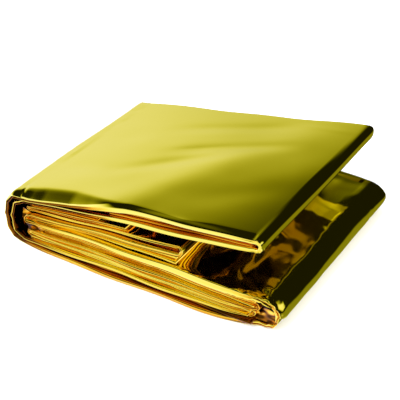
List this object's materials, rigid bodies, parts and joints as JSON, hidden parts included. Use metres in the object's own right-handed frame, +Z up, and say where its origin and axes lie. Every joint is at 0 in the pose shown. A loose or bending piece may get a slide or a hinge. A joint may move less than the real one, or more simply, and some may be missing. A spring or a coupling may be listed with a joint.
{
  "type": "emergency foil blanket",
  "caption": "Folded metallised film blanket lying flat, its layers in a loose block and its top leaf lifted at the open side.",
  "frame": {"origin": "middle of the base, on the surface that the folded blanket lies on", "axes": "+Z up, +X from the spine of the fold to the open side, +Y from the front edge to the back edge"},
  "size_m": [0.1388, 0.112, 0.0448],
  "materials": {
    "gold_foil": "gold metallised polyester film, mirror bright with a satin haze"
  },
  "bodies": {
    "root": {"foil_blanket": "gold_foil"}
  },
  "joints": []
}
